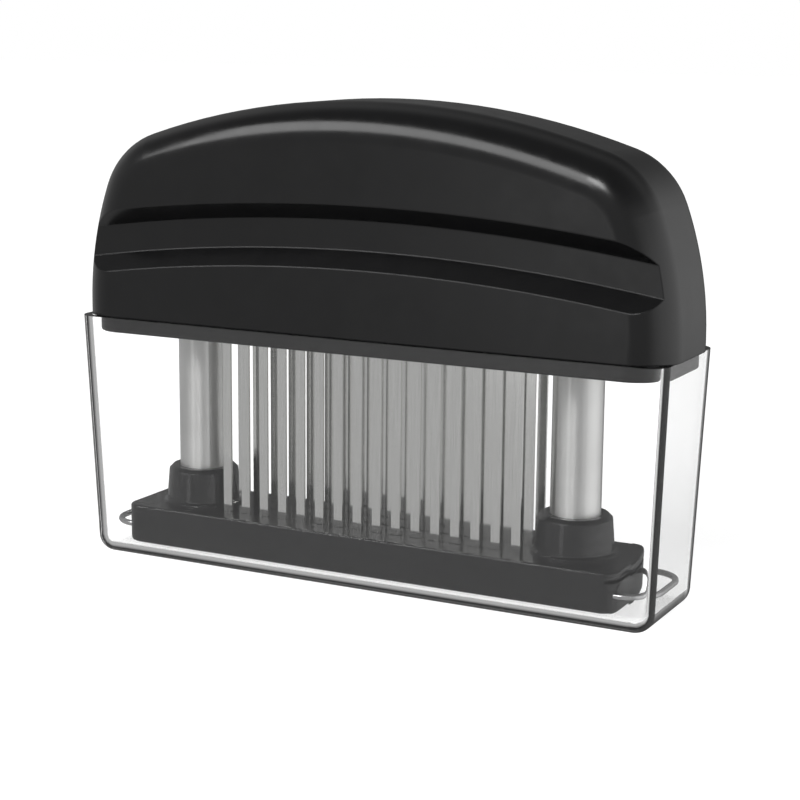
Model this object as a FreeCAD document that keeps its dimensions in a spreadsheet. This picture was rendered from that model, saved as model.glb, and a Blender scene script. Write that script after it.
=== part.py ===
import FreeCAD, Part

import math
import os

import Sketcher
from FreeCAD import Vector

# Blade meat tenderizer, standing in its clear cover. Millimetres, +Z up, +X to the right along the
# handle, front face towards -Y. The origin is at the middle of the cover's underside.

doc = FreeCAD.newDocument("blade_tenderizer")
sheet = doc.addObject("Spreadsheet::Sheet", "sizes")

SIZES = {
    # clear cover: its rim, walls and round edges
    "cover_length": 150.0,
    "cover_width": 35.0,
    "cover_height": 59.6,
    "cover_wall": 2.0,
    "cover_end_lean": 2.2,
    "cover_side_lean": 1.6,
    "cover_corner_radius": 4.6,
    "cover_edge_radius": 4.4,
    # handle shell: its arched outline, wall and inside
    "handle_length": 150.9,
    "handle_width": 33.0,
    "handle_top": 112.8,
    "handle_upright": 2.4,
    "handle_side_radius": 83.9,
    "handle_shoulder_radius": 19.7,
    "handle_crown_radius": 185.3,
    "handle_edge_radius": 9.1,
    "handle_wall": 3.0,
    "skirt_height": 10.4,
    "waist_width": 20.8,
    # finger recess along the front and back of the handle
    "recess_radius": 480.0,
    "recess_mouth_top": 90.0,
    "recess_mouth_bottom": 75.4,
    "recess_floor_top": 86.2,
    "recess_floor_bottom": 79.5,
    "recess_depth": 3.8,
    # ribs, screw bosses and spring pads inside the handle
    "rib_spacing": 20.0,
    "rib_count": 3.0,
    "rib_thickness": 2.0,
    "boss_spacing_along": 128.0,
    "boss_spacing_across": 16.0,
    "boss_radius": 3.2,
    "boss_height": 18.0,
    "pilot_radius": 1.2,
    "pilot_depth": 11.0,
    "pad_radius": 5.0,
    # bottom plate of the handle
    "plate_length": 145.2,
    "plate_width": 29.8,
    "plate_corner_radius": 7.5,
    "plate_thickness": 3.8,
    "spigot_height": 2.4,
    "spigot_clearance": 0.2,
    "sleeve_radius": 8.2,
    "sleeve_height": 6.0,
    "plate_edge_radius": 0.5,
    # blades and the bars that hold them
    "blade_count": 16.0,
    "blade_pitch": 5.09,
    "blade_width": 2.3,
    "blade_thickness": 0.6,
    "blade_tip_slope": 2.0,
    "blade_tip_height": 4.2,
    "blade_slot_clearance": 0.25,
    "row_spacing": 6.9,
    "holder_end_margin": 1.4,
    "holder_width": 5.6,
    "holder_height": 12.0,
    "holder_edge_radius": 0.8,
    "blade_seat_depth": 10.0,
    # guide columns, their plugs and snap rings
    "column_inset": 14.7,
    "column_radius": 5.8,
    "column_wall": 0.7,
    "column_clearance": 0.08,
    "column_top_margin": 1.6,
    "ring_thickness": 1.2,
    "ring_outer_radius": 7.2,
    "ring_groove_depth": 0.3,
    "ring_opening_angle": 50.0,
    "plug_flange_length": 18.0,
    "plug_flange_width": 23.2,
    "plug_flange_corner_radius": 3.0,
    "plug_flange_thickness": 2.0,
    "plug_spigot_height": 6.0,
    "plug_stub_height": 3.0,
    "plug_stub_radius": 2.9,
    "plug_clearance": 0.03,
    "flange_clearance": 0.2,
    # springs and the posts that they push against
    "stroke": 30.0,
    "stroke_headroom": 0.5,
    "spring_radius": 4.0,
    "spring_wire": 1.0,
    "spring_turns": 22.0,
    "post_head_radius": 4.6,
    "post_head_thickness": 3.2,
    "post_rod_radius": 2.4,
    "post_rod_length": 46.0,
    "post_stub_radius": 2.0,
    "post_stub_height": 1.6,
    # foot plate
    "foot_clearance": 0.6,
    "foot_corner_radius": 4.0,
    "foot_bottom": 3.2,
    "foot_thickness": 9.7,
    "foot_top_radius": 0.6,
    "foot_bottom_radius": 1.5,
    "row_groove_width": 0.9,
    "row_groove_depth": 0.8,
    "foot_boss_height": 9.2,
    "foot_boss_top_radius": 8.5,
    "foot_boss_bottom_radius": 9.1,
    "foot_boss_round": 0.9,
    "foot_bead_radius": 9.9,
    "foot_bead_height": 1.1,
    "end_slot_height": 0.75,
    "end_slot_top_margin": 1.7,
    "end_slot_depth": 2.5,
    # wire clips
    "clip_wire_radius": 0.7,
    "clip_height": 7.5,
    "clip_leg_spacing": 22.0,
    "clip_bend_radius": 7.0,
    "clip_clearance": 0.5,
    "clip_stand_out": 6.0,
    "clip_hold": 4.6,
    "clip_hole_clearance": 0.05,
    # screws that hold the bottom plate
    "screw_radius": 1.4,
    "screw_length": 12.0,
    "screw_head_radius": 2.6,
    "screw_head_height": 1.6,
    "screw_clearance": 0.2,
}

for row, (alias, size) in enumerate(SIZES.items(), 1):
    sheet.set("A%d" % row, alias)
    sheet.set("B%d" % row, str(size))
    sheet.setAlias("B%d" % row, alias)
doc.recompute()


def named(text):
    """Turn a formula of size names into an expression on the sheet's cells."""
    for alias in sorted(SIZES, key=len, reverse=True):
        text = text.replace("#" + alias, "sizes." + alias)
    return text


def value(text):
    """Work out a formula of size names as a number."""
    return float(sheet.evalExpression(named(text)))


def bind(target, path, text):
    """Tie one property or constraint of an object to a formula of size names."""
    target.setExpression(path, named(text))


# Levels and places that several pieces share, as formulas of the sheet's sizes.
PLATE_BOTTOM = "(#cover_height - #plate_thickness)"
SPIGOT_TOP = "(#cover_height + #spigot_height)"
SLEEVE_TOP = "(#cover_height + #spigot_height + #sleeve_height)"
RING_TOP = "(%s + #ring_thickness)" % SLEEVE_TOP
COLUMN_TOP = "(%s + #column_top_margin)" % RING_TOP
HOLDER_TOP = "(%s + #holder_height)" % SPIGOT_TOP
PAD_BOTTOM = "(%s + #stroke + #stroke_headroom)" % COLUMN_TOP
POST_HEAD_BOTTOM = "(%s - #post_head_thickness)" % PAD_BOTTOM
CLIP_REACH = "(#cover_length / 2 - #cover_wall - #cover_end_lean - #clip_clearance)"
FOOT_LENGTH = "(2 * (%s - #clip_stand_out))" % CLIP_REACH
FOOT_WIDTH = "(#cover_width - 2 * (#cover_wall + #cover_side_lean + #foot_clearance))"
FOOT_TOP = "(#foot_bottom + #foot_thickness)"
FLANGE_BOTTOM = "(#clip_height + #clip_wire_radius)"
FLANGE_TOP = "(%s + #plug_flange_thickness)" % FLANGE_BOTTOM
PLUG_TOP = "(%s + #plug_spigot_height)" % FLANGE_TOP
COLUMN_BORE = "(#column_radius - #column_wall)"
COLUMN_X = "(%s / 2 - #column_inset)" % FOOT_LENGTH
CLIP_INNER_END = "(%s - #clip_hold)" % COLUMN_X
SHELL_MOUTH_LENGTH = "(#handle_length - 2 * #handle_wall)"
SHELL_MOUTH_WIDTH = "(#handle_width - 2 * #handle_wall)"
SHELL_MOUTH_RADIUS = "(#handle_edge_radius - #handle_wall)"
ROW_LENGTH = "((#blade_count - 1) * #blade_pitch)"
HOLDER_LENGTH = "(%s + #blade_width + 2 * #holder_end_margin)" % ROW_LENGTH

UP = Vector(0, 0, 1)
SIDES = {"left": "-1", "right": "1"}
ROWS = {"front": "-1", "middle": "0", "rear": "1"}
NEARLY_FLAT = 0.01
pieces = []


def new_body(label):
    """Start a piece that is modelled feature by feature."""
    body = doc.addObject("PartDesign::Body", label)
    body.Label = label
    body.AllowCompound = True
    pieces.append(body)
    return body


def origin_feature(body, role):
    """Find one of the body's own origin planes or axes."""
    return next(item for item in body.Origin.OriginFeatures if item.Role == role)


def new_sketch(body, name, role, offset="0", shift=("0", "0")):
    """Attach a sketch to an origin plane, moved along its normal and within the plane."""
    sketch = body.newObject("Sketcher::SketchObject", name)
    sketch.AttachmentSupport = [(origin_feature(body, role), "")]
    sketch.MapMode = "FlatFace"
    for axis, text in zip("xyz", (shift[0], shift[1], offset)):
        if text != "0":
            bind(sketch, "AttachmentOffset.Base." + axis, text)
    doc.recompute()
    return sketch


def constrain(sketch, kind, elements, text):
    """Add a dimension whose size is a formula of size names."""
    number = sketch.addConstraint(Sketcher.Constraint(kind, *elements, value(text)))
    bind(sketch, "Constraints[%d]" % number, text)


def place(sketch, element, point, across, upward):
    """Fix a point of the sketch at formulas for its distance from the sketch's origin."""
    if value(across) == 0:
        sketch.addConstraint(Sketcher.Constraint("PointOnObject", element, point, -2))
    else:
        constrain(sketch, "DistanceX", (-1, 1, element, point), across)
    if value(upward) == 0:
        sketch.addConstraint(Sketcher.Constraint("PointOnObject", element, point, -1))
    else:
        constrain(sketch, "DistanceY", (-1, 1, element, point), upward)


def polygon(sketch, corners):
    """Draw a closed outline of straight lines through corners given as formulas."""
    first = sketch.GeometryCount
    points = [Vector(value(across), value(upward), 0) for across, upward in corners]
    for index, point in enumerate(points):
        following = points[(index + 1) % len(points)]
        sketch.addGeometry(Part.LineSegment(point, following), False)
    for index, (across, upward) in enumerate(corners):
        previous = first + (index - 1) % len(corners)
        sketch.addConstraint(Sketcher.Constraint("Coincident", previous, 2, first + index, 1))
        place(sketch, first + index, 1, across, upward)


def rectangle(sketch, length, width):
    """Draw a rectangle about the sketch's origin."""
    half_length = "%s / 2" % length
    half_width = "%s / 2" % width
    signs = (("-1", "-1"), ("1", "-1"), ("1", "1"), ("-1", "1"))
    polygon(sketch, [("%s * %s" % (a, half_length), "%s * %s" % (b, half_width)) for a, b in signs])


def circle(sketch, across, upward, radius):
    """Draw a circle with its centre at formulas from the sketch's origin."""
    centre = Vector(value(across), value(upward), 0)
    number = sketch.addGeometry(Part.Circle(centre, UP, value(radius)), False)
    place(sketch, number, 3, across, upward)
    constrain(sketch, "Radius", (number,), radius)


def arc(sketch, centre, radius, start, end):
    """Add an arc to the sketch, from one angle in radians to the other."""
    return sketch.addGeometry(Part.ArcOfCircle(Part.Circle(centre, UP, radius), start, end), False)


def join(sketch, first, second):
    """Let the end of one element run smoothly into the start of the next."""
    sketch.addConstraint(Sketcher.Constraint("Tangent", first, 2, second, 1))


def rounded_rectangle(sketch, length, width, radius):
    """Draw a rectangle with round corners about the sketch's origin."""
    corners = (("1", "1"), ("-1", "1"), ("-1", "-1"), ("1", "-1"))
    arcs = []
    for index, (along, across) in enumerate(corners):
        centre_x = "%s * (%s / 2 - %s)" % (along, length, radius)
        centre_y = "%s * (%s / 2 - %s)" % (across, width, radius)
        start = index * math.pi / 2
        centre = Vector(value(centre_x), value(centre_y), 0)
        number = arc(sketch, centre, value(radius), start, start + math.pi / 2)
        place(sketch, number, 3, centre_x, centre_y)
        constrain(sketch, "Radius", (number,), radius)
        arcs.append(number)
    for index, number in enumerate(arcs):
        following = arcs[(index + 1) % len(arcs)]
        start = sketch.getPoint(number, 2)
        end = sketch.getPoint(following, 1)
        line = sketch.addGeometry(Part.LineSegment(start, end), False)
        join(sketch, number, line)
        join(sketch, line, following)


def pad(body, name, sketch, length, reach="One side", taper="0"):
    """Thicken a sketch into material along its normal."""
    feature = body.newObject("PartDesign::Pad", name)
    feature.Profile = sketch
    feature.SideType = reach
    bind(feature, "Length", length)
    if taper != "0":
        bind(feature, "TaperAngle", taper)
    doc.recompute()
    return feature


def pocket(body, name, sketch, length, reach="One side", reverse=True):
    """Cut a sketch out of the body; reverse cuts along the sketch's normal."""
    before = body.Shape.Volume
    feature = body.newObject("PartDesign::Pocket", name)
    feature.Profile = sketch
    feature.SideType = reach
    feature.Reversed = reverse
    bind(feature, "Length", length)
    doc.recompute()
    if body.Shape.Volume >= before:
        raise RuntimeError("%s of %s cuts nothing" % (name, body.Label))
    return feature


def revolve(body, name, sketch, kind="PartDesign::Revolution", axis="V_Axis", angle=360.0):
    """Turn a sketch about one of its own axes into material or, as a groove, into a cut."""
    feature = body.newObject(kind, name)
    feature.Profile = sketch
    feature.ReferenceAxis = (sketch, [axis])
    feature.Angle = angle
    feature.Midplane = angle < 360.0
    doc.recompute()
    return feature


def pattern(body, name, feature, spacing, count):
    """Repeat a feature in a row along +X."""
    row = body.newObject("PartDesign::LinearPattern", name)
    row.Originals = [feature]
    row.Direction = (origin_feature(body, "X_Axis"), [""])
    row.Mode = "Spacing"
    bind(row, "Offset", spacing)
    bind(row, "Occurrences", count)
    body.Tip = row
    doc.recompute()
    return row


def round_edges(body, name, test, radius):
    """Round those edges of the body that pass a test."""
    base = body.Tip
    numbered = enumerate(base.Shape.Edges, 1)
    names = ["Edge%d" % number for number, edge in numbered if test(edge)]
    feature = body.newObject("PartDesign::Fillet", name)
    feature.Base = (base, names)
    bind(feature, "Radius", radius)
    doc.recompute()
    return feature


def level(edge, text):
    """Say whether an edge lies in the horizontal plane at a formula's height."""
    height = value(text)
    middle = edge.valueAt((edge.FirstParameter + edge.LastParameter) / 2)
    points = [vertex.Point for vertex in edge.Vertexes] + [middle]
    return all(abs(point.z - height) < NEARLY_FLAT for point in points)


def turned(body, name, across, profile):
    """Turn a profile of (radius, height) corners about an upright axis at an X position."""
    sketch = new_sketch(body, name + "_profile", "XZ_Plane", shift=(across, "0"))
    polygon(sketch, profile)
    return revolve(body, name, sketch)


# --- clear cover -----------------------------------------------------------------------------

def leaning_block(body, name, inset, foot):
    """Block inset from the cover's outside, from a level to the rim, with leaning sides."""
    lean_left = "(1 - %s / #cover_height)" % foot
    rim_length = "(#cover_length / 2 - %s)" % inset
    rim_width = "(#cover_width / 2 - %s)" % inset
    foot_length = "(%s - #cover_end_lean * %s)" % (rim_length, lean_left)
    foot_width = "(%s - #cover_side_lean * %s)" % (rim_width, lean_left)
    front = new_sketch(body, name + "_front_view", "XZ_Plane")
    polygon(front, [
        ("-1 * %s" % foot_length, foot),
        (foot_length, foot),
        (rim_length, "#cover_height"),
        ("-1 * %s" % rim_length, "#cover_height"),
    ])
    pad(body, name + "_block", front, "2 * %s" % rim_width, reach="Symmetric")
    wedges = new_sketch(body, name + "_end_view", "YZ_Plane")
    for sign in SIDES.values():
        polygon(wedges, [
            ("%s * %s" % (sign, rim_width), "#cover_height"),
            ("%s * %s" % (sign, foot_width), foot),
            ("%s * %s" % (sign, rim_width), foot),
        ])
    pocket(body, name + "_lean", wedges, "#cover_length", reach="Symmetric")
    corner_radius = "(#cover_corner_radius - %s)" % inset
    edge_radius = "(#cover_edge_radius - %s)" % inset
    half_height = value("#cover_height / 2")
    round_edges(body, name + "_corners", lambda edge: edge.BoundBox.ZLength > half_height, corner_radius)
    round_edges(body, name + "_bottom", lambda edge: level(edge, foot), edge_radius)


def make_clear_cover():
    """Moulded box, open at the top, whose walls lean in a little towards its floor."""
    body = new_body("clear_cover")
    leaning_block(body, "cover_outside", "0", "0")
    core = doc.addObject("PartDesign::Body", "cover_core")
    leaning_block(core, "cover_inside", "#cover_wall", "#cover_wall")
    before = body.Shape.Volume
    hollow = body.newObject("PartDesign::Boolean", "cover_hollow")
    hollow.setObjects([core])
    hollow.Type = "Cut"
    doc.recompute()
    if body.Shape.Volume >= before:
        raise RuntimeError("the cover is not hollow")


# --- handle shell ----------------------------------------------------------------------------

def circles_cross(centre_one, radius_one, centre_two, radius_two):
    """Give the crossing of two circles that lies further to the right."""
    gap = centre_two.sub(centre_one)
    distance = gap.Length
    along = (distance ** 2 + radius_one ** 2 - radius_two ** 2) / (2 * distance)
    aside = math.sqrt(radius_one ** 2 - along ** 2)
    unit = Vector(gap).normalize()
    across = Vector(-unit.y, unit.x, 0)
    points = [centre_one + unit * along + across * sign * aside for sign in (1, -1)]
    return max(points, key=lambda point: point.x)


def arched_outline(sketch, inset):
    """Draw the handle's front outline moved in by inset: upright foot, bowed ends, arched top."""
    foot = "#cover_height"
    side_radius = "(#handle_side_radius - %s)" % inset
    shoulder_radius = "(#handle_shoulder_radius - %s)" % inset
    crown_radius = "(#handle_crown_radius - %s)" % inset
    side_x = "(#handle_length / 2 - #handle_side_radius)"
    side_z = "(#cover_height + #handle_upright)"
    crown_z = "(#handle_top - #handle_crown_radius)"
    side_centre = Vector(value(side_x), value(side_z), 0)
    crown_centre = Vector(0, value(crown_z), 0)
    side_reach = value("%s - %s" % (side_radius, shoulder_radius))
    crown_reach = value("%s - %s" % (crown_radius, shoulder_radius))
    shoulder_centre = circles_cross(side_centre, side_reach, crown_centre, crown_reach)
    to_side = shoulder_centre - side_centre
    to_crown = shoulder_centre - crown_centre
    low = math.atan2(to_side.y, to_side.x)
    high = math.atan2(to_crown.y, to_crown.x)

    def flipped(point):
        return Vector(-point.x, point.y, 0)

    chain = [
        arc(sketch, side_centre, value(side_radius), 0, low),
        arc(sketch, shoulder_centre, value(shoulder_radius), low, high),
        arc(sketch, crown_centre, value(crown_radius), high, math.pi - high),
        arc(sketch, flipped(shoulder_centre), value(shoulder_radius), math.pi - high, math.pi - low),
        arc(sketch, flipped(side_centre), value(side_radius), math.pi - low, math.pi),
    ]
    foot_z = value(foot)
    right = sketch.getPoint(chain[0], 1)
    left = sketch.getPoint(chain[-1], 2)
    left_line = sketch.addGeometry(Part.LineSegment(left, Vector(left.x, foot_z, 0)), False)
    bottom = sketch.addGeometry(
        Part.LineSegment(Vector(left.x, foot_z, 0), Vector(right.x, foot_z, 0)), False)
    right_line = sketch.addGeometry(Part.LineSegment(Vector(right.x, foot_z, 0), right), False)
    loop = [right_line] + chain + [left_line]
    for first, second in zip(loop, loop[1:]):
        join(sketch, first, second)
    sketch.addConstraint(Sketcher.Constraint("Coincident", left_line, 2, bottom, 1))
    sketch.addConstraint(Sketcher.Constraint("Coincident", bottom, 2, right_line, 1))
    sketch.addConstraint(Sketcher.Constraint("Horizontal", bottom))
    sketch.addConstraint(Sketcher.Constraint("Vertical", left_line))
    sketch.addConstraint(Sketcher.Constraint("Vertical", right_line))
    constrain(sketch, "DistanceY", (-1, 1, bottom, 1), foot)
    place(sketch, chain[0], 3, side_x, side_z)
    place(sketch, chain[2], 3, "0", crown_z)
    place(sketch, chain[4], 3, "-1 * %s" % side_x, side_z)
    radii = (side_radius, shoulder_radius, crown_radius, shoulder_radius, side_radius)
    for number, radius in zip(chain, radii):
        constrain(sketch, "Radius", (number,), radius)


def screw_places():
    """Give the four places, as formulas, where screws hold the bottom plate."""
    signs = (("-1", "-1"), ("1", "-1"), ("1", "1"), ("-1", "1"))
    along = "#boss_spacing_along / 2"
    across = "#boss_spacing_across / 2"
    return [("%s * %s" % (a, along), "%s * %s" % (b, across)) for a, b in signs]


def make_handle_shell():
    """Moulded shell with an arched top and a finger recess along its front and back."""
    body = new_body("handle_shell")
    outline = new_sketch(body, "handle_outline", "XZ_Plane")
    arched_outline(outline, "0")
    pad(body, "handle_block", outline, "#handle_width", reach="Symmetric")
    half_width = value("#handle_width / 2")

    def on_face_edge(edge):
        on_side = all(abs(abs(vertex.Y) - half_width) < NEARLY_FLAT for vertex in edge.Vertexes)
        return on_side and edge.BoundBox.YLength < NEARLY_FLAT and not level(edge, "#cover_height")

    round_edges(body, "handle_edges", on_face_edge, "#handle_edge_radius")

    # The recess is a shallow trough that follows an arc lower than the handle's own arch.
    arc_centre = "(#recess_mouth_top - #recess_radius)"
    recess = new_sketch(body, "recess_section", "YZ_Plane", shift=("0", arc_centre))
    face = "-1 * #handle_width / 2"
    floor = "(%s + #recess_depth)" % face
    outside = "(%s - #recess_depth)" % face
    slope_top = "(#recess_mouth_top - #recess_floor_top)"
    slope_bottom = "(#recess_floor_bottom - #recess_mouth_bottom)"
    polygon(recess, [
        (floor, "#recess_floor_bottom - %s" % arc_centre),
        (floor, "#recess_floor_top - %s" % arc_centre),
        (outside, "#recess_mouth_top + %s - %s" % (slope_top, arc_centre)),
        (outside, "#recess_mouth_bottom - %s - %s" % (slope_bottom, arc_centre)),
    ])
    reach = value("#handle_length / 2 + #handle_wall")
    sweep = math.degrees(2 * math.asin(reach / value("#recess_radius")))
    before = body.Shape.Volume
    trough = revolve(body, "front_recess", recess, "PartDesign::Groove", "H_Axis", sweep)
    if body.Shape.Volume >= before:
        raise RuntimeError("the finger recess cuts nothing")
    both = body.newObject("PartDesign::Mirrored", "back_recess")
    both.Originals = [trough]
    both.MirrorPlane = (origin_feature(body, "XZ_Plane"), [""])
    body.Tip = both
    doc.recompute()

    waist = new_sketch(body, "waist_outline", "XZ_Plane")
    arched_outline(waist, "#handle_wall")
    pocket(body, "waist_hollow", waist, "#waist_width", reach="Symmetric")
    mouth = new_sketch(body, "mouth_outline", "XY_Plane", offset="#cover_height")
    rounded_rectangle(mouth, SHELL_MOUTH_LENGTH, SHELL_MOUTH_WIDTH, SHELL_MOUTH_RADIUS)
    pocket(body, "mouth_hollow", mouth, "#skirt_height")

    # Ribs across the hollow press the blade holders down on the bottom plate.
    rib_width = "(#waist_width + #handle_wall / 2)"
    crown_drop = "(#handle_crown_radius - sqrt(#handle_crown_radius ^ 2 - #rib_spacing ^ 2))"
    rib_top = "(#handle_top - #handle_wall / 2 - %s)" % crown_drop
    rib = new_sketch(body, "rib_section", "YZ_Plane", offset="-1 * #rib_spacing * (#rib_count - 1) / 2")
    polygon(rib, [
        ("-1 * %s / 2" % rib_width, HOLDER_TOP),
        ("%s / 2" % rib_width, HOLDER_TOP),
        ("%s / 2" % rib_width, rib_top),
        ("-1 * %s / 2" % rib_width, rib_top),
    ])
    first_rib = pad(body, "first_rib", rib, "#rib_thickness", reach="Symmetric")
    pattern(body, "ribs", first_rib, "#rib_spacing", "#rib_count")

    bosses = new_sketch(body, "boss_outline", "XY_Plane", offset=SPIGOT_TOP)
    for across, upward in screw_places():
        circle(bosses, across, upward, "#boss_radius")
    pad(body, "screw_bosses", bosses, "#boss_height")
    pilots = new_sketch(body, "pilot_outline", "XY_Plane", offset=SPIGOT_TOP)
    for across, upward in screw_places():
        circle(pilots, across, upward, "#pilot_radius")
    pocket(body, "pilot_holes", pilots, "#pilot_depth")

    # A pad under the arch at each column takes the push of its spring.
    pad_edge = "(%s + #pad_radius)" % COLUMN_X
    arch_there = "(#handle_top - #handle_crown_radius + sqrt(#handle_crown_radius ^ 2 - %s ^ 2))" % pad_edge
    pads = new_sketch(body, "spring_pad_outline", "XY_Plane", offset=PAD_BOTTOM)
    for sign in SIDES.values():
        circle(pads, "%s * %s" % (sign, COLUMN_X), "0", "#pad_radius")
    pad(body, "spring_pads", pads, "%s - %s - #handle_wall / 10" % (arch_there, PAD_BOTTOM))
    holes = new_sketch(body, "post_hole_outline", "XY_Plane", offset=PAD_BOTTOM)
    for sign in SIDES.values():
        circle(holes, "%s * %s" % (sign, COLUMN_X), "0", "#post_stub_radius")
    pocket(body, "post_holes", holes, "#post_stub_height")


# --- bottom plate ----------------------------------------------------------------------------

def row_position(sign):
    """Give the Y formula of a row of blades."""
    return "%s * #row_spacing" % sign if sign != "0" else "0"


def blade_slots(body, name, offset, depth, clearance, signs):
    """Cut a slot for each blade of the given rows, from a level upwards."""
    first = "-1 * %s / 2" % ROW_LENGTH
    half_length = "(#blade_width / 2 + %s)" % clearance
    half_width = "(#blade_thickness / 2 + %s)" % clearance
    sketch = new_sketch(body, name + "_outline", "XY_Plane", offset=offset)
    for sign in signs:
        middle = row_position(sign)
        polygon(sketch, [
            ("%s - %s" % (first, half_length), "%s - %s" % (middle, half_width)),
            ("%s + %s" % (first, half_length), "%s - %s" % (middle, half_width)),
            ("%s + %s" % (first, half_length), "%s + %s" % (middle, half_width)),
            ("%s - %s" % (first, half_length), "%s + %s" % (middle, half_width)),
        ])
    first_slots = pocket(body, name, sketch, depth)
    return pattern(body, name + "_row", first_slots, "#blade_pitch", "#blade_count")


def make_bottom_plate():
    """Plate that closes the handle, guides the columns and lets the blades through."""
    body = new_body("bottom_plate")
    flange = new_sketch(body, "flange_outline", "XY_Plane", offset=PLATE_BOTTOM)
    rounded_rectangle(flange, "#plate_length", "#plate_width", "#plate_corner_radius")
    pad(body, "flange", flange, "#plate_thickness")
    round_edges(body, "flange_edge", lambda edge: level(edge, PLATE_BOTTOM), "#plate_edge_radius")
    spigot = new_sketch(body, "spigot_outline", "XY_Plane", offset="#cover_height")
    spigot_length = "(%s - 2 * #spigot_clearance)" % SHELL_MOUTH_LENGTH
    spigot_width = "(%s - 2 * #spigot_clearance)" % SHELL_MOUTH_WIDTH
    spigot_radius = "(%s - #spigot_clearance)" % SHELL_MOUTH_RADIUS
    rounded_rectangle(spigot, spigot_length, spigot_width, spigot_radius)
    pad(body, "spigot", spigot, "#spigot_height")
    sleeves = new_sketch(body, "sleeve_outline", "XY_Plane", offset=SPIGOT_TOP)
    bores = new_sketch(body, "bore_outline", "XY_Plane", offset=PLATE_BOTTOM)
    for sign in SIDES.values():
        circle(sleeves, "%s * %s" % (sign, COLUMN_X), "0", "#sleeve_radius")
        circle(bores, "%s * %s" % (sign, COLUMN_X), "0", "#column_radius + #column_clearance")
    pad(body, "sleeves", sleeves, "#sleeve_height")
    pocket(body, "bores", bores, "%s - %s" % (SLEEVE_TOP, PLATE_BOTTOM))
    screw_holes = new_sketch(body, "screw_hole_outline", "XY_Plane", offset=PLATE_BOTTOM)
    head_holes = new_sketch(body, "head_hole_outline", "XY_Plane", offset=PLATE_BOTTOM)
    for across, upward in screw_places():
        circle(screw_holes, across, upward, "#screw_radius + #screw_clearance")
        circle(head_holes, across, upward, "#screw_head_radius + #screw_clearance")
    pocket(body, "screw_holes", screw_holes, "%s - %s" % (SPIGOT_TOP, PLATE_BOTTOM))
    pocket(body, "head_holes", head_holes, "#screw_head_height")
    through = "%s - %s" % (SPIGOT_TOP, PLATE_BOTTOM)
    blade_slots(body, "blade_slots", PLATE_BOTTOM, through, "#blade_slot_clearance", ROWS.values())


# --- blades and their holders ----------------------------------------------------------------

def make_blade_holder(name, sign):
    """Moulded bar inside the handle that holds the top ends of one row of blades."""
    body = new_body("blade_holder_" + name)
    middle = ("0", row_position(sign))
    bar = new_sketch(body, "bar_outline_" + name, "XY_Plane", SPIGOT_TOP, middle)
    rectangle(bar, HOLDER_LENGTH, "#holder_width")
    pad(body, "bar_" + name, bar, "#holder_height")
    round_edges(body, "bar_ends_" + name, lambda edge: edge.BoundBox.ZLength > 1, "#holder_edge_radius")
    blade_slots(body, "seats_" + name, SPIGOT_TOP, "#blade_seat_depth", "0", [sign])


def make_blades(name, sign):
    """Row of flat steel blades, each cut to a slanting point."""
    body = new_body("blades_" + name)
    first = "-1 * %s / 2" % ROW_LENGTH
    left = "%s - #blade_width / 2" % first
    right = "%s + #blade_width / 2" % first
    top = "%s + #blade_seat_depth" % SPIGOT_TOP
    # The XZ plane's normal points to -Y, so the row's place is taken with the other sign.
    offset = "-1 * %s" % row_position(sign) if sign != "0" else "0"
    sketch = new_sketch(body, "blade_outline_" + name, "XZ_Plane", offset=offset)
    polygon(sketch, [
        (left, "#blade_tip_height"),
        (right, "#blade_tip_height + #blade_tip_slope"),
        (right, top),
        (left, top),
    ])
    blade = pad(body, "blade_" + name, sketch, "#blade_thickness", reach="Symmetric")
    pattern(body, "blade_row_" + name, blade, "#blade_pitch", "#blade_count")


# --- guide columns, plugs, snap rings, springs and posts -------------------------------------

def make_column(side, sign):
    """Steel tube that carries the foot plate, with a groove for its snap ring."""
    body = new_body("column_" + side)
    outer = "#column_radius"
    groove = "(#column_radius - #ring_groove_depth)"
    turned(body, "tube_" + side, "%s * %s" % (sign, COLUMN_X), [
        (COLUMN_BORE, FLANGE_TOP),
        (outer, FLANGE_TOP),
        (outer, SLEEVE_TOP),
        (groove, SLEEVE_TOP),
        (groove, RING_TOP),
        (outer, RING_TOP),
        (outer, COLUMN_TOP),
        (COLUMN_BORE, COLUMN_TOP),
    ])


def make_column_plug(side, sign):
    """Moulded plug that closes the column, carries the spring and has a flange for the clip."""
    body = new_body("column_plug_" + side)
    across = "%s * %s" % (sign, COLUMN_X)
    flange = new_sketch(body, "plug_flange_outline_" + side, "XY_Plane", FLANGE_BOTTOM, (across, "0"))
    rounded_rectangle(flange, "#plug_flange_length", "#plug_flange_width", "#plug_flange_corner_radius")
    pad(body, "plug_flange_" + side, flange, "#plug_flange_thickness")
    spigot = "(%s - #plug_clearance)" % COLUMN_BORE
    turned(body, "plug_" + side, across, [
        ("0", FLANGE_BOTTOM),
        (spigot, FLANGE_BOTTOM),
        (spigot, PLUG_TOP),
        ("#plug_stub_radius", PLUG_TOP),
        ("#plug_stub_radius", "%s + #plug_stub_height" % PLUG_TOP),
        ("0", "%s + #plug_stub_height" % PLUG_TOP),
    ])


def make_retaining_ring(side, sign):
    """Open snap ring in the column's groove, which stops the column leaving the handle."""
    body = new_body("retaining_ring_" + side)
    name = "snap_ring_" + side
    sketch = new_sketch(body, name + "_profile", "XZ_Plane", shift=("%s * %s" % (sign, COLUMN_X), "0"))
    inner = "(#column_radius - #ring_groove_depth)"
    polygon(sketch, [
        (inner, SLEEVE_TOP),
        ("#ring_outer_radius", SLEEVE_TOP),
        ("#ring_outer_radius", RING_TOP),
        (inner, RING_TOP),
    ])
    revolve(body, name, sketch, angle=value("360 - #ring_opening_angle"))


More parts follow.
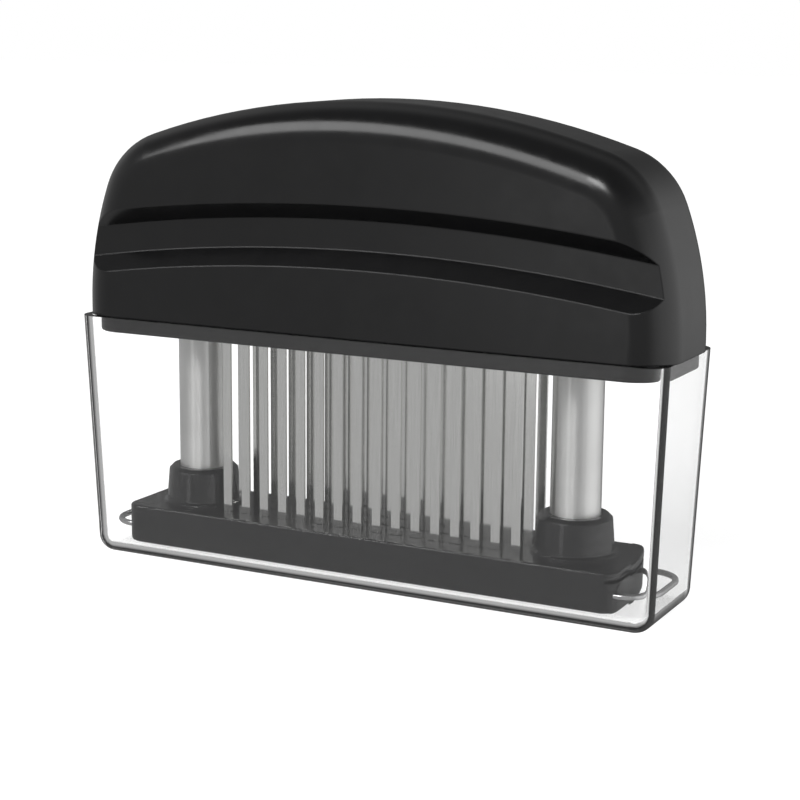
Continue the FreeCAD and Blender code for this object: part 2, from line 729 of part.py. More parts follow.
def make_spring(side, sign):
    """Compression spring in the column, between the column's plug and the post in the handle."""
    body = new_body("spring_" + side)
    start = "(%s + #spring_wire / 2)" % PLUG_TOP
    rise = "(%s - %s - #spring_wire)" % (POST_HEAD_BOTTOM, PLUG_TOP)
    sketch = new_sketch(body, "wire_section_" + side, "XZ_Plane", shift=("%s * %s" % (sign, COLUMN_X), "0"))
    circle(sketch, "#spring_radius", start, "#spring_wire / 2")
    coil = body.newObject("PartDesign::AdditiveHelix", "coil_" + side)
    coil.Profile = sketch
    coil.ReferenceAxis = (sketch, ["V_Axis"])
    coil.Mode = "height-turns-angle"
    bind(coil, "Height", rise)
    bind(coil, "Turns", "#spring_turns")
    doc.recompute()


def make_spring_post(side, sign):
    """Post that hangs from the handle's pad inside the spring and keeps it straight."""
    body = new_body("spring_post_" + side)
    stub_top = "%s + #post_stub_height" % PAD_BOTTOM
    turned(body, "post_" + side, "%s * %s" % (sign, COLUMN_X), [
        ("0", "%s - #post_rod_length" % POST_HEAD_BOTTOM),
        ("#post_rod_radius", "%s - #post_rod_length" % POST_HEAD_BOTTOM),
        ("#post_rod_radius", POST_HEAD_BOTTOM),
        ("#post_head_radius", POST_HEAD_BOTTOM),
        ("#post_head_radius", PAD_BOTTOM),
        ("#post_stub_radius", PAD_BOTTOM),
        ("#post_stub_radius", stub_top),
        ("0", stub_top),
    ])


# --- foot plate and its wire clips -----------------------------------------------------------

def make_foot_plate():
    """Moulded block that rests on the meat: flat top, two bosses and slots for the blades."""
    body = new_body("foot_plate")
    block = new_sketch(body, "foot_outline", "XY_Plane", offset="#foot_bottom")
    rounded_rectangle(block, FOOT_LENGTH, FOOT_WIDTH, "#foot_corner_radius")
    pad(body, "foot_block", block, "#foot_thickness")
    round_edges(body, "foot_top_edge", lambda edge: level(edge, FOOT_TOP), "#foot_top_radius")
    round_edges(body, "foot_bottom_edge", lambda edge: level(edge, "#foot_bottom"), "#foot_bottom_radius")

    for side, sign in SIDES.items():
        across = "%s * %s" % (sign, COLUMN_X)
        turned(body, "bead_" + side, across, [
            ("0", "%s - #foot_top_radius" % FOOT_TOP),
            ("#foot_bead_radius", "%s - #foot_top_radius" % FOOT_TOP),
            ("#foot_bead_radius", "%s + #foot_bead_height / 2" % FOOT_TOP),
            ("#foot_boss_bottom_radius", "%s + #foot_bead_height" % FOOT_TOP),
            ("#foot_boss_top_radius", "%s + #foot_boss_height - #foot_boss_round" % FOOT_TOP),
            ("#foot_boss_top_radius - #foot_boss_round", "%s + #foot_boss_height" % FOOT_TOP),
            ("0", "%s + #foot_boss_height" % FOOT_TOP),
        ])
    # Each column stands in a socket; its plug's flange fills a recess in the underside.
    sockets = new_sketch(body, "socket_outline", "XY_Plane", offset="#foot_bottom")
    for sign in SIDES.values():
        circle(sockets, "%s * %s" % (sign, COLUMN_X), "0", "#column_radius + #column_clearance")
    pocket(body, "sockets", sockets, "#foot_thickness + #foot_boss_height")
    recess_length = "(#plug_flange_length + 2 * #flange_clearance)"
    recess_width = "(#plug_flange_width + 2 * #flange_clearance)"
    recess_radius = "(#plug_flange_corner_radius + #flange_clearance)"
    for side, sign in SIDES.items():
        across = "%s * %s" % (sign, COLUMN_X)
        name = "flange_recess_outline_" + side
        underside = new_sketch(body, name, "XY_Plane", "#foot_bottom", (across, "0"))
        rounded_rectangle(underside, recess_length, recess_width, recess_radius)
        pocket(body, "flange_recess_" + side, underside, "%s - #foot_bottom" % FLANGE_TOP)

    # Slots for the blades; a narrow groove in the top joins those of the middle row.
    blade_slots(body, "slots", "#foot_bottom", "#foot_thickness", "#blade_slot_clearance", ROWS.values())
    groove = new_sketch(body, "row_groove_outline", "XY_Plane", offset="%s - #row_groove_depth" % FOOT_TOP)
    rectangle(groove, "(%s + #blade_width)" % ROW_LENGTH, "#row_groove_width")
    pocket(body, "row_groove", groove, "#row_groove_depth")

    # Holes for the legs of the wire clips, and the narrow slot across each end.
    leg_y = "#clip_leg_spacing / 2"
    hole_radius = "#clip_wire_radius + #clip_hole_clearance"
    slot_bottom = "(%s - #end_slot_top_margin - #end_slot_height)" % FOOT_TOP
    slot_top = "(%s - #end_slot_top_margin)" % FOOT_TOP
    for side, sign in SIDES.items():
        outwards = sign == "1"
        inner_end = "%s * %s" % (sign, CLIP_INNER_END)
        holes = new_sketch(body, "leg_hole_outline_" + side, "YZ_Plane", inner_end)
        circle(holes, leg_y, "#clip_height", hole_radius)
        circle(holes, "-1 * %s" % leg_y, "#clip_height", hole_radius)
        leg_depth = "%s / 2 - %s" % (FOOT_LENGTH, CLIP_INNER_END)
        pocket(body, "leg_holes_" + side, holes, leg_depth, reverse=outwards)
        slot = new_sketch(body, "end_slot_outline_" + side, "YZ_Plane",
                          offset="%s * (%s / 2 - #end_slot_depth)" % (sign, FOOT_LENGTH))
        polygon(slot, [
            ("-1 * %s / 2" % FOOT_WIDTH, slot_bottom),
            ("%s / 2" % FOOT_WIDTH, slot_bottom),
            ("%s / 2" % FOOT_WIDTH, slot_top),
            ("-1 * %s / 2" % FOOT_WIDTH, slot_top),
        ])
        pocket(body, "end_slot_" + side, slot, "#end_slot_depth", reverse=outwards)


def make_wire_clip(side, sign):
    """Bent spring wire whose legs pass under the flange of the column's plug."""
    body = new_body("wire_clip_" + side)
    bend = value("#clip_bend_radius")
    reach = value(CLIP_REACH)
    leg_y = value("#clip_leg_spacing / 2")
    inner = value(CLIP_INNER_END)
    direction = float(sign)
    path = new_sketch(body, "clip_path_" + side, "XY_Plane", offset="#clip_height")

    def at(along, across):
        return Vector(direction * along, across, 0)

    if direction > 0:
        near_angles = (-math.pi / 2, 0)
        far_angles = (0, math.pi / 2)
    else:
        near_angles = (math.pi, 3 * math.pi / 2)
        far_angles = (math.pi / 2, math.pi)
    near_leg = path.addGeometry(Part.LineSegment(at(inner, -leg_y), at(reach - bend, -leg_y)), False)
    near_bend = arc(path, at(reach - bend, bend - leg_y), bend, *near_angles)
    middle = path.addGeometry(Part.LineSegment(at(reach, bend - leg_y), at(reach, leg_y - bend)), False)
    far_bend = arc(path, at(reach - bend, leg_y - bend), bend, *far_angles)
    far_leg = path.addGeometry(Part.LineSegment(at(reach - bend, leg_y), at(inner, leg_y)), False)
    # Each bend's ends are counted anticlockwise, so they swap on the left clip.
    first, last = (1, 2) if direction > 0 else (2, 1)
    path.addConstraint(Sketcher.Constraint("Tangent", near_leg, 2, near_bend, first))
    path.addConstraint(Sketcher.Constraint("Tangent", near_bend, last, middle, 1))
    path.addConstraint(Sketcher.Constraint("Tangent", middle, 2, far_bend, first))
    path.addConstraint(Sketcher.Constraint("Tangent", far_bend, last, far_leg, 1))
    bend_x = "%s * (%s - #clip_bend_radius)" % (sign, CLIP_REACH)
    place(path, near_bend, 3, bend_x, "#clip_bend_radius - #clip_leg_spacing / 2")
    place(path, far_bend, 3, bend_x, "#clip_leg_spacing / 2 - #clip_bend_radius")
    constrain(path, "Radius", (near_bend,), "#clip_bend_radius")
    constrain(path, "Radius", (far_bend,), "#clip_bend_radius")
    inner_x = "%s * %s" % (sign, CLIP_INNER_END)
    place(path, near_leg, 1, inner_x, "-1 * #clip_leg_spacing / 2")
    place(path, far_leg, 2, inner_x, "#clip_leg_spacing / 2")
    section = new_sketch(body, "clip_section_" + side, "YZ_Plane", offset=inner_x)
    circle(section, "-1 * #clip_leg_spacing / 2", "#clip_height", "#clip_wire_radius")
    wire = body.newObject("PartDesign::AdditivePipe", "clip_wire_" + side)
    wire.Profile = section
    wire.Spine = (path, ["Edge%d" % number for number in range(1, 6)])
    doc.recompute()


# --- plate screws ----------------------------------------------------------------------------

def make_plate_screws():
    """Four round-headed screws, driven from below, that hold the bottom plate to the shell."""
    body = new_body("plate_screws")
    head_top = "(%s + #screw_head_height)" % PLATE_BOTTOM
    heads = new_sketch(body, "screw_heads_outline", "XY_Plane", offset=PLATE_BOTTOM)
    shanks = new_sketch(body, "screw_shanks_outline", "XY_Plane", offset=head_top)
    for across, upward in screw_places():
        circle(heads, across, upward, "#screw_head_radius")
        circle(shanks, across, upward, "#pilot_radius")
    pad(body, "screw_heads", heads, "#screw_head_height")
    pad(body, "screw_shanks", shanks, "#screw_length")


make_clear_cover()
make_handle_shell()
make_bottom_plate()
for row_name, row_sign in ROWS.items():
    make_blade_holder(row_name, row_sign)
    make_blades(row_name, row_sign)
for side_name, side_sign in SIDES.items():
    make_column(side_name, side_sign)
    make_column_plug(side_name, side_sign)
    make_retaining_ring(side_name, side_sign)
    make_spring(side_name, side_sign)
    make_spring_post(side_name, side_sign)
    make_wire_clip(side_name, side_sign)
make_foot_plate()
make_plate_screws()
doc.recompute()

failed = [item.Label for item in doc.Objects if "Invalid" in item.State or "Error" in item.State]
failed += [piece.Label for piece in pieces if piece.Shape.isNull() or not piece.Shape.isValid()]
if failed:
    raise RuntimeError("could not be built: " + ", ".join(failed))

os.makedirs("parts", exist_ok=True)
for piece in pieces:
    piece.Shape.exportStep(os.path.join("parts", piece.Label + ".step"))
    box = piece.Shape.BoundBox
    print("%-22s %2d solids %9.1f mm3  x %7.2f %7.2f  y %6.2f %6.2f  z %6.2f %6.2f" % (
        piece.Label, len(piece.Shape.Solids), piece.Shape.Volume,
        box.XMin, box.XMax, box.YMin, box.YMax, box.ZMin, box.ZMax))
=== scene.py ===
import math

import bpy
from mathutils import Matrix, Vector


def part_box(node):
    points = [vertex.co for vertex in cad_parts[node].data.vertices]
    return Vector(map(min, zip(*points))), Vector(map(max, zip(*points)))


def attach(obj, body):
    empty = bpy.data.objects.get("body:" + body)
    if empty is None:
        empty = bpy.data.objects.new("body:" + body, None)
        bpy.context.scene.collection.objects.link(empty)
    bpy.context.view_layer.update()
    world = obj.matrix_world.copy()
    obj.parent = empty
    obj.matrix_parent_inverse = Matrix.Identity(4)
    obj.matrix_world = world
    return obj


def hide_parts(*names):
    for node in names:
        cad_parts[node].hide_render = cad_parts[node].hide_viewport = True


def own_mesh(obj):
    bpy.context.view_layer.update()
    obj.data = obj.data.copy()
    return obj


# A push-down blade meat tenderizer standing in its clear cover. Metres, +Z up, +X to the right
# along the handle, front towards -Y. The sections follow the tool as it is put together: foot
# plate, columns, clips, springs, blades and their plate, handle, and last the cover.

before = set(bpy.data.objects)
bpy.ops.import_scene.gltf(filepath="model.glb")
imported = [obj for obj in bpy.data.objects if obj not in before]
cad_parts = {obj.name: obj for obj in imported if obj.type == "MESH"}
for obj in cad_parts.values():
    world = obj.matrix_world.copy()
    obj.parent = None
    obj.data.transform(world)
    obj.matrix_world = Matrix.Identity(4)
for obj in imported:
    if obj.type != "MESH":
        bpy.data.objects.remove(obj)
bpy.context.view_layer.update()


# --- Studio ----------------------------------------------------------------------------------
# A pale sheet to stand on, a wide softbox in front at the upper left, a small lamp beside it and
# a plain room whose right wall is the brighter one. The camera is a short telephoto on a tripod.

def unselect():
    """Leave nothing selected, so that the next operator acts on its own piece alone."""
    bpy.ops.object.select_all(action="DESELECT")


def new_material(name):
    """A material with nodes, and its Principled shader."""
    material = bpy.data.materials.new(name)
    material.use_nodes = True
    return material, material.node_tree.nodes["Principled BSDF"]


def add_node(material, kind, **values):
    """Add a shader node and set its sockets, whose names are given with _ for each space."""
    node = material.node_tree.nodes.new("ShaderNode" + kind)
    for name, number in values.items():
        node.inputs[name.replace("_", " ")].default_value = number
    return node


def wire(material, source, target):
    """Join an output socket to an input socket."""
    material.node_tree.links.new(source, target)


def feed(material, term, target):
    """Give an input socket a number, or join it to an output socket."""
    if isinstance(term, (int, float)):
        target.default_value = term
    else:
        wire(material, term, target)


def work_out(material, operation, first, second):
    """A Math node on two sockets or numbers."""
    node = add_node(material, "Math")
    node.operation = operation
    feed(material, first, node.inputs[0])
    feed(material, second, node.inputs[1])
    return node.outputs["Value"]


def between(material, share, first, second):
    """First where the share is 0, second where it is 1; each is a socket or a number."""
    node = add_node(material, "Mix")
    wire(material, share, node.inputs["Factor"])
    feed(material, first, node.inputs["A"])
    feed(material, second, node.inputs["B"])
    return node.outputs["Result"]


def ramp(material, source, span, levels, course="SMOOTHSTEP"):
    """A number that goes from the first level to the second as source crosses the span."""
    node = add_node(material, "MapRange", From_Min=span[0], From_Max=span[1])
    node.inputs["To Min"].default_value = levels[0]
    node.inputs["To Max"].default_value = levels[1]
    node.interpolation_type = course
    wire(material, source, node.inputs["Value"])
    return node.outputs["Result"]


def facing(material, direction, aim):
    """How nearly a direction points at an aim: 1 where it does, 0 at a right angle to it."""
    node = add_node(material, "VectorMath")
    node.operation = "DOT_PRODUCT"
    node.inputs[1].default_value = Vector(aim).normalized()
    wire(material, direction, node.inputs[0])
    return node.outputs["Value"]


def straight_sight(material, steps):
    """A ray's Light Path, 1 if the ray met nothing but clear walls, and the white that it shows.

    Such a ray has counted 0 steps on a surface and 1 in the room. The white makes up for the
    light that each wall takes.
    """
    path = add_node(material, "LightPath")
    crossings = path.outputs["Transmission Depth"]
    turns = work_out(material, "SUBTRACT", path.outputs["Ray Depth"], crossings)
    straight = work_out(material, "LESS_THAN", turns, steps + 0.5)
    white = work_out(material, "ADD", 1.0, work_out(material, "MULTIPLY", crossings, wall_loss))
    return path, straight, white


def let_through(material, shader, share):
    """Let a share of the rays pass the surface as if it weren't there."""
    clear = add_node(material, "BsdfTransparent")
    choice = add_node(material, "MixShader")
    wire(material, share, choice.inputs["Fac"])
    wire(material, shader.outputs["BSDF"], choice.inputs[1])
    wire(material, clear.outputs["BSDF"], choice.inputs[2])
    wire(material, choice.outputs["Shader"], material.node_tree.nodes["Material Output"].inputs["Surface"])


wall_loss = 0.06
floor_size = 8.0
floor_grey = 0.5
floor_glow = 0.72

unselect()
bpy.ops.mesh.primitive_plane_add(size=floor_size)
floor = bpy.context.object
floor.name = "studio_floor"
sheet, paint = new_material("studio_sheet")
paint.inputs["Base Color"].default_value = (floor_grey, floor_grey, floor_grey, 1)
paint.inputs["Roughness"].default_value = 0.9
paint.inputs["Specular IOR Level"].default_value = 0.1
paint.inputs["Emission Color"].default_value = (1, 1, 1, 1)
path, straight, white = straight_sight(sheet, 0)
glow = work_out(sheet, "MULTIPLY", work_out(sheet, "MULTIPLY", straight, white), floor_glow)
wire(sheet, glow, paint.inputs["Emission Strength"])
# A mirrored ray passes the sheet and ends in the room.
let_through(sheet, paint, work_out(sheet, "SUBTRACT", path.outputs["Is Glossy Ray"], straight))
floor.data.materials.append(sheet)

# Mirrored rays meet the walls, and all other rays an even room light. A span says where a wall
# begins and where it is full, from -1 to 1 along an axis or towards its own middle.
room_light = 0.62
dim_wall = 0.42
least_light = 0.05
right_wall = 0.78
right_towards = (0.94, 0.34, 0)
right_span = (0.2, 1.0)
right_top = (0.15, 0.6)
right_top_share = 0.2
right_foot = (-0.3, -0.06)
right_foot_share = 0.65
back_wall = -0.3
back_span = (0.3, 0.9)
ceiling = -0.28
ceiling_span = (0.2, 0.8)
ceiling_rear = (0.0, 0.5)
ceiling_rear_share = 0.3
strip_light = 0.64
strip_towards = (-0.31, -0.95, -0.08)
strip_span = (0.989, 0.9976)

world = bpy.data.worlds.new("studio_room")
world.use_nodes = True
bpy.context.scene.world = world
room = world.node_tree.nodes["Background"]
room.inputs["Color"].default_value = (1, 1, 1, 1)
path, straight, white = straight_sight(world, 1)
unmirrored = work_out(world, "MAXIMUM", path.outputs["Is Camera Ray"], path.outputs["Is Transmission Ray"])
straight = work_out(world, "MULTIPLY", straight, unmirrored)
direction = add_node(world, "TexCoord").outputs["Generated"]
parts = add_node(world, "SeparateXYZ")
wire(world, direction, parts.inputs["Vector"])
backward = parts.outputs["Y"]
upward = parts.outputs["Z"]
right = ramp(world, facing(world, direction, right_towards), right_span, (0, right_wall))
right = work_out(world, "MULTIPLY", right, ramp(world, upward, right_top, (1, right_top_share)))
right = work_out(world, "MULTIPLY", right, ramp(world, upward, right_foot, (right_foot_share, 1)))
back = ramp(world, backward, back_span, (0, back_wall))
above = ramp(world, upward, ceiling_span, (0, ceiling))
above = work_out(world, "MULTIPLY", above, ramp(world, backward, ceiling_rear, (1, ceiling_rear_share)))
strip = ramp(world, facing(world, direction, strip_towards), strip_span, (0, strip_light))
walls = dim_wall
for wall in (right, back, above):
    walls = work_out(world, "ADD", walls, wall)
walls = work_out(world, "ADD", work_out(world, "MAXIMUM", walls, least_light), strip)
unseen = between(world, path.outputs["Is Glossy Ray"], room_light, walls)
wire(world, between(world, straight, unseen, white), room.inputs["Strength"])

lamp_aim = Vector((0, 0, 0.09))
lamp_distance = 1.1


def add_lamp(name, turn, height, width, depth, radiance):
    """A rectangular lamp at a turn from the front and a height above the horizon, in degrees."""
    level = math.cos(math.radians(height))
    across = math.sin(math.radians(turn)) * level
    forward = -math.cos(math.radians(turn)) * level
    place = Vector((across, forward, math.sin(math.radians(height)))) * lamp_distance + lamp_aim
    bpy.ops.object.light_add(type="AREA", location=place)
    lamp = bpy.context.object
    lamp.name = name
    lamp.data.shape = "RECTANGLE"
    lamp.data.size = width
    lamp.data.size_y = depth
    lamp.data.energy = math.pi * radiance * width * depth
    lamp.rotation_euler = (lamp_aim - place).to_track_quat("-Z", "Y").to_euler()


add_lamp("softbox", turn=-30, height=38.5, width=0.98, depth=0.43, radiance=4.1)
add_lamp("small_lamp", turn=6, height=38, width=0.22, depth=0.22, radiance=12.5)

camera_place = (0.20461, -0.39131, 0.13147)
camera_lens = 86.14
camera_turn = math.radians(27.08)
camera_dip = math.radians(11.34)
camera_roll = math.radians(0.49)

bpy.ops.object.camera_add(location=camera_place)
camera = bpy.context.object
turned = Matrix.Rotation(camera_turn, 3, "Z")
dipped = Matrix.Rotation(math.pi / 2 - camera_dip, 3, "X")
rolled = Matrix.Rotation(camera_roll, 3, "Z")
camera.rotation_euler = (turned @ dipped @ rolled).to_euler()
camera.data.lens = camera_lens
bpy.context.scene.camera = camera
bpy.context.scene.view_settings.view_transform = "Standard"


# --- Foot plate ------------------------------------------------------------------------------
# The block that presses on the meat: a flat top, a boss for each column and a slot for every
# blade. Injection-moulded black ABS with a polished mould face, so it mirrors what is near.

mm = 0.001
usual_noise = (0.35, 0.65)


def dress(node, material):
    """Give a CAD node its finish."""
    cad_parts[node].material_slots[0].material = material


def patches(material, size, low, high):
    """A number that drifts between low and high over patches of this size.

    Noise seldom leaves its usual span, so that span alone is drawn out from low to high.
    """
    place = add_node(material, "TexCoord")
    noise = add_node(material, "TexNoise", Scale=1 / size, Detail=5.0, Roughness=0.55)
    wire(material, place.outputs["Object"], noise.inputs["Vector"])
    return ramp(material, noise.outputs["Fac"], usual_noise, (low, high), "LINEAR")


def two_colours(material, share, dark, pale):
    """A colour between two, by a number from 0 to 1."""
    mix = add_node(material, "Mix")
    mix.data_type = "RGBA"
    colour_a = [socket for socket in mix.inputs if socket.name == "A" and socket.type == "RGBA"][0]
    colour_b = [socket for socket in mix.inputs if socket.name == "B" and socket.type == "RGBA"][0]
    colour_a.default_value = (*dark, 1)
    colour_b.default_value = (*pale, 1)
    wire(material, share, mix.inputs["Factor"])
    return [socket for socket in mix.outputs if socket.type == "RGBA"][0]


def mottle(material, shader, size, dark, pale):
    """Colour that drifts between two over patches of this size."""
    share = patches(material, size, 0, 1)
    wire(material, two_colours(material, share, dark, pale), shader.inputs["Base Color"])


def mixed_gloss(material, shader, size, shine, dull):
    """Roughness that drifts between two values over patches of this size."""
    wire(material, patches(material, size, shine, dull), shader.inputs["Roughness"])


def fine_grain(material, shader, size, depth, edge=0):
    """Bump with grains this wide and deep, on edges that look rounded to a radius."""
    place = add_node(material, "TexCoord")
    noise = add_node(material, "TexNoise", Scale=1 / size, Detail=4.0, Roughness=0.6)
    wire(material, place.outputs["Object"], noise.inputs["Vector"])
    bump = add_node(material, "Bump", Distance=depth)
    wire(material, noise.outputs["Fac"], bump.inputs["Height"])
    if edge:
        rounded = add_node(material, "Bevel", Radius=edge)
        rounded.samples = 6
        wire(material, rounded.outputs["Normal"], bump.inputs["Normal"])
    wire(material, bump.outputs["Normal"], shader.inputs["Normal"])


def black_plastic(name, dark, pale, shine, dull, edge, grain, relief):
    """Moulded black plastic: faint patches in its colour and gloss, round edges, fine mould grain."""
    material, shader = new_material(name)
    mottle(material, shader, size=9 * mm, dark=dark, pale=pale)
    mixed_gloss(material, shader, size=5 * mm, shine=shine, dull=dull)
    fine_grain(material, shader, size=grain, depth=relief, edge=edge)
    shader.inputs["IOR"].default_value = 1.5
    return material


foot_black = black_plastic(
    "foot_black", dark=(0.011, 0.011, 0.0115), pale=(0.014, 0.014, 0.0145), shine=0.05, dull=0.10,
    edge=0.35 * mm, grain=0.6 * mm, relief=0.001 * mm)
dress("foot_plate", foot_black)


# --- Guide columns ---------------------------------------------------------------------------
# Two thin-walled steel tubes, ground round on a lathe and polished bright. Each is closed by a
# moulded nylon plug at its foot and carries an open snap ring at its top.

sides = ("left", "right")
turning_mark = 0.4 * mm
turning_stretch = (0.1, 0.1, 1)
column_gloss = (0.29, 0.35)


def streaks(material, size, stretch):
    """Noise with grains of this size, drawn out along each axis whose stretch is under 1."""
    place = add_node(material, "TexCoord")
    drawn = add_node(material, "Mapping", Scale=stretch)
    noise = add_node(material, "TexNoise", Scale=1 / size, Detail=3.0)
    wire(material, place.outputs["Object"], drawn.inputs["Vector"])
    wire(material, drawn.outputs["Vector"], noise.inputs["Vector"])
    return noise.outputs["Fac"]


polished_steel, steel = new_material("polished_steel")
steel.inputs["Metallic"].default_value = 1.0
mottle(polished_steel, steel, size=12 * mm, dark=(0.73, 0.73, 0.72), pale=(0.79, 0.79, 0.78))
turning = streaks(polished_steel, turning_mark, turning_stretch)
wire(polished_steel, ramp(polished_steel, turning, (0, 1), column_gloss, "LINEAR"), steel.inputs["Roughness"])
around = add_node(polished_steel, "Tangent")
around.direction_type = "RADIAL"
around.axis = "Z"
wire(polished_steel, around.outputs["Tangent"], steel.inputs["Tangent"])
steel.inputs["Anisotropic"].default_value = 0.9
steel.inputs["Anisotropic Rotation"].default_value = 0.25

plug_nylon, nylon = new_material("plug_nylon")
mottle(plug_nylon, nylon, size=4 * mm, dark=(0.045, 0.045, 0.047), pale=(0.06, 0.06, 0.062))
mixed_gloss(plug_nylon, nylon, size=3 * mm, shine=0.38, dull=0.5)
fine_grain(plug_nylon, nylon, size=0.35 * mm, depth=0.006 * mm, edge=0.3 * mm)


def spring_steel(name, dark, pale, shine, dull):
    """Drawn or rolled spring steel with a faint mottle from its heat treatment."""
    material, shader = new_material(name)
    shader.inputs["Metallic"].default_value = 1.0
    mottle(material, shader, size=1.5 * mm, dark=dark, pale=pale)
    mixed_gloss(material, shader, size=0.8 * mm, shine=shine, dull=dull)
    fine_grain(material, shader, size=0.12 * mm, depth=0.002 * mm)
    return material


ring_steel = spring_steel(
    "ring_steel", dark=(0.30, 0.30, 0.31), pale=(0.42, 0.42, 0.42), shine=0.25, dull=0.4)
for side in sides:
    dress("column_" + side, polished_steel)
    dress("column_plug_" + side, plug_nylon)
    dress("retaining_ring_" + side, ring_steel)


# --- Wire clips ------------------------------------------------------------------------------
# A U of hard-drawn spring wire at each end of the foot plate. Its legs pass under the flange
# of the column's plug, so pulling it out frees the foot plate for washing.

clip_wire = spring_steel(
    "clip_wire", dark=(0.50, 0.50, 0.51), pale=(0.62, 0.62, 0.62), shine=0.14, dull=0.24)
for side in sides:
    dress("wire_clip_" + side, clip_wire)


# --- Springs ---------------------------------------------------------------------------------
# A long compression spring in each column pushes the foot plate down from a nylon post in the
# handle. It is wound from round music wire, and its last turns at both ends lie close together
# to seat flat.

wire_diameter = 1.0 * mm
wire_sides = 10
open_turns = 19.0
closed_turns = 1.5
closed_pitch = 1.03 * wire_diameter
steps_per_turn = 24
weld_gap = 0.02 * mm
music_wire = spring_steel(
    "music_wire", dark=(0.34, 0.34, 0.35), pale=(0.46, 0.46, 0.46), shine=0.2, dull=0.32)


def wind(radius, start_turn, turns, bottom, rise):
    """One stretch of coil, from start_turn on, that climbs by rise over its turns."""
    unselect()
    bpy.ops.mesh.primitive_circle_add(
        vertices=wire_sides, radius=wire_diameter / 2, location=(radius, 0, 0),
        rotation=(math.pi / 2, 0, 0))
    coil = bpy.context.object
    bpy.ops.object.transform_apply(location=True, rotation=True, scale=True)
    screw = coil.modifiers.new("screw", "SCREW")
    screw.angle = math.tau * turns
    screw.screw_offset = rise
    screw.steps = round(steps_per_turn * turns)
    screw.render_steps = screw.steps
    bpy.ops.object.modifier_apply(modifier=screw.name)
    wound_on = Matrix.Rotation(math.tau * start_turn, 4, "Z")
    coil.data.transform(Matrix.Translation((0, 0, bottom)) @ wound_on)
    return coil


def wind_spring(side):
    """A closed-end spring that fills the box of its CAD solid."""
    low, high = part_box("spring_" + side)
    middle = (low + high) / 2
    length = high.z - low.z
    radius = (high.x - low.x) / 2 - wire_diameter / 2
    closed_rise = closed_turns * closed_pitch
    open_rise = length - wire_diameter - 2 * closed_rise
    coils = []
    turns_wound = 0
    height = low.z + wire_diameter / 2
    for turns, rise in ((closed_turns, closed_rise), (open_turns, open_rise), (closed_turns, closed_rise)):
        coils.append(wind(radius, turns_wound, turns, height, rise))
        turns_wound += turns
        height += rise
    unselect()
    for coil in coils:
        coil.select_set(True)
    bpy.context.view_layer.objects.active = coils[0]
    bpy.ops.object.join()
    spring = bpy.context.object
    spring.name = "wound_spring_" + side
    spring.data.transform(Matrix.Translation((middle.x, middle.y, 0)))
    bpy.ops.object.mode_set(mode="EDIT")
    bpy.ops.mesh.select_all(action="SELECT")
    bpy.ops.mesh.remove_doubles(threshold=weld_gap)
    bpy.ops.mesh.select_all(action="DESELECT")
    bpy.ops.mesh.select_non_manifold()
    bpy.ops.mesh.edge_face_add()
    bpy.ops.mesh.select_all(action="SELECT")
    bpy.ops.mesh.normals_make_consistent(inside=False)
    bpy.ops.object.mode_set(mode="OBJECT")
    bpy.ops.object.shade_smooth()
    spring.data.materials.append(music_wire)
    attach(spring, "handle")
    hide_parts("spring_" + side)
    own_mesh(spring)


for side in sides:
    wind_spring(side)
    dress("spring_post_" + side, plug_nylon)


# --- Blades ----------------------------------------------------------------------------------
# Three rows of sixteen flat blades. Each is blanked from stainless strip, brushed along its
# length, cut to a slanting point and ground from both faces to a cutting edge.

rows = ("front", "middle", "rear")
blades_per_row = 16
blade_width = 2.3 * mm
blade_edge = 0.06 * mm
square_corner = math.radians(60)
tip_rise = 2.0 * mm
tip_land = 0.03 * mm
grind_angle = math.radians(16)
brush_mark = mm / 6
brush_stretch = (1, 1, 0.015)
brush_span = (0.3, 0.7)
blade_gloss = (0.06, 0.14)

blade_steel, blade = new_material("blade_steel")
blade.inputs["Metallic"].default_value = 1.0
brushing = streaks(blade_steel, brush_mark, brush_stretch)
blade_tone = ramp(blade_steel, brushing, brush_span, (0, 1), "LINEAR")
wire(blade_steel, two_colours(blade_steel, blade_tone, dark=(0.81, 0.81, 0.795), pale=(0.88, 0.88, 0.865)),
     blade.inputs["Base Color"])
wire(blade_steel, ramp(blade_steel, brushing, (0, 1), blade_gloss, "LINEAR"), blade.inputs["Roughness"])
scratch = add_node(blade_steel, "Bump", Distance=0.0008 * mm)
wire(blade_steel, brushing, scratch.inputs["Height"])
wire(blade_steel, scratch.outputs["Normal"], blade.inputs["Normal"])


def cut(place, outwards):
    """Cut the piece in edit mode by a plane, drop what lies outwards of it, and close the cut."""
    bpy.ops.mesh.select_all(action="SELECT")
    bpy.ops.mesh.bisect(plane_co=place, plane_no=outwards, use_fill=True, clear_outer=True)


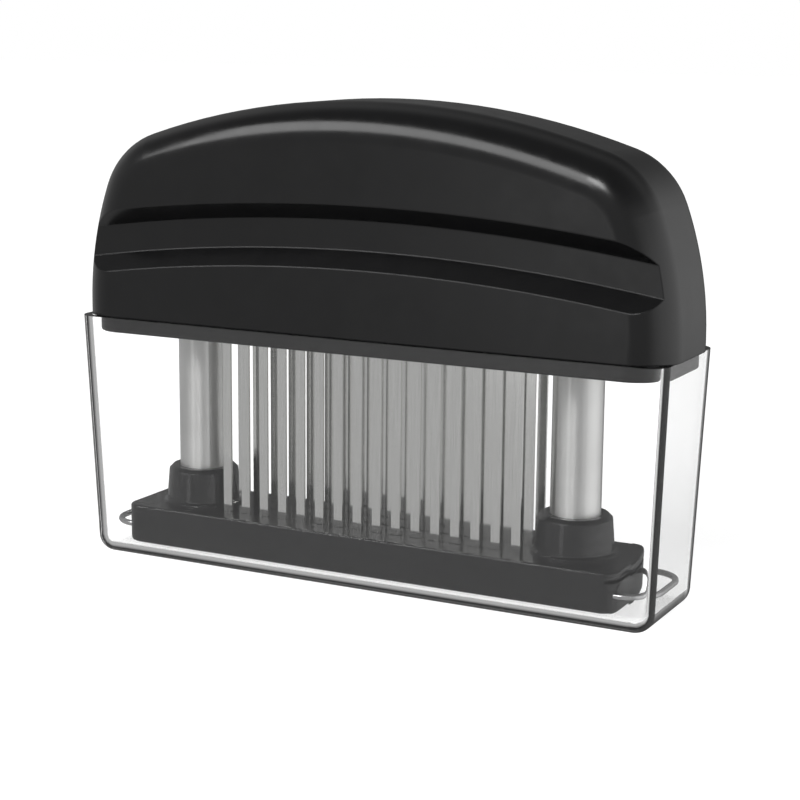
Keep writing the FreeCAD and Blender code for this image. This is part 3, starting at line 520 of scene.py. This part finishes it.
def make_row(row):
    """Sixteen blades that fill the box of their CAD row."""
    low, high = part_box("blades_" + row)
    pitch = (high.x - low.x - blade_width) / (blades_per_row - 1)
    blank = (blade_width, high.y - low.y, high.z - low.z)
    centre = (low.x + blade_width / 2, (low.y + high.y) / 2, (low.z + high.z) / 2)
    unselect()
    bpy.ops.mesh.primitive_cube_add(size=1, location=centre, scale=blank)
    piece = bpy.context.object
    piece.name = "ground_blades_" + row
    bpy.ops.object.transform_apply(location=True, rotation=True, scale=True)
    bpy.ops.object.mode_set(mode="EDIT")
    below_tip = Vector((tip_rise, 0, -blade_width)).normalized()
    point = Vector((low.x, centre[1], low.z))
    cut(point, below_tip)
    for face in (-1, 1):
        ground = below_tip * math.sin(grind_angle) + Vector((0, face * math.cos(grind_angle), 0))
        cut(point + Vector((0, face * tip_land, 0)), ground)
    bpy.ops.object.mode_set(mode="OBJECT")
    bevel = piece.modifiers.new("blanked_edges", "BEVEL")
    bevel.width = blade_edge
    bevel.segments = 2
    bevel.limit_method = "ANGLE"
    bevel.angle_limit = square_corner
    bpy.ops.object.modifier_apply(modifier=bevel.name)
    array = piece.modifiers.new("row", "ARRAY")
    array.count = blades_per_row
    array.use_relative_offset = False
    array.use_constant_offset = True
    array.constant_offset_displace = (pitch, 0, 0)
    bpy.ops.object.modifier_apply(modifier=array.name)
    bpy.ops.object.shade_flat()
    piece.data.materials.append(blade_steel)
    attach(piece, "handle")
    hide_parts("blades_" + row)


for row in rows:
    make_row(row)


# --- Blade holders ---------------------------------------------------------------------------
# A moulded nylon bar inside the handle for each row of blades. It stands on the bottom plate,
# and the blades are pressed into it from below.

for row in rows:
    dress("blade_holder_" + row, plug_nylon)


# --- Bottom plate and its screws -------------------------------------------------------------
# The plate closes the handle, lets the blades through and guides the columns in two sleeves.
# It is black ABS like the shell, and four zinc-plated screws hold it from below.

plate_black = black_plastic(
    "plate_black", dark=(0.0045, 0.0045, 0.0048), pale=(0.0055, 0.0055, 0.0058), shine=0.18, dull=0.24,
    edge=0.35 * mm, grain=0.5 * mm, relief=0.001 * mm)
dress("bottom_plate", plate_black)

zinc_plate, zinc = new_material("zinc_plate")
zinc.inputs["Metallic"].default_value = 1.0
mottle(zinc_plate, zinc, size=0.9 * mm, dark=(0.48, 0.49, 0.50), pale=(0.60, 0.61, 0.61))
mixed_gloss(zinc_plate, zinc, size=0.6 * mm, shine=0.25, dull=0.42)
fine_grain(zinc_plate, zinc, size=0.2 * mm, depth=0.003 * mm, edge=0.2 * mm)
dress("plate_screws", zinc_plate)


# --- Handle shell ----------------------------------------------------------------------------
# Hollow arched handle with a finger recess along both sides. Injection-moulded black ABS from
# a finely blasted mould, so it is satin, with faint patches in its gloss.

handle_black = black_plastic(
    "handle_black", dark=(0.0035, 0.0035, 0.0038), pale=(0.0045, 0.0045, 0.0048), shine=0.17, dull=0.22,
    edge=0.5 * mm, grain=0.45 * mm, relief=0.0005 * mm)
dress("handle_shell", handle_black)


# --- Clear cover -----------------------------------------------------------------------------
# The storage box that the blades stand in. Injection-moulded clear polystyrene with a 2 mm
# wall, drawn slightly narrower towards its floor. The handle's skirt rests on its rim.

clear_plastic, glass = new_material("clear_plastic")
glass.inputs["Base Color"].default_value = (0.998, 0.999, 0.999, 1)
glass.inputs["Transmission Weight"].default_value = 1.0
glass.inputs["IOR"].default_value = 1.5
glass.inputs["Roughness"].default_value = 0.02
# The lamps' light and the light from matt surfaces pass straight through the walls.
rays = add_node(clear_plastic, "LightPath")
let_through(clear_plastic, glass, work_out(
    clear_plastic, "MAXIMUM", rays.outputs["Is Shadow Ray"], rays.outputs["Is Diffuse Ray"]))
dress("clear_cover", clear_plastic)
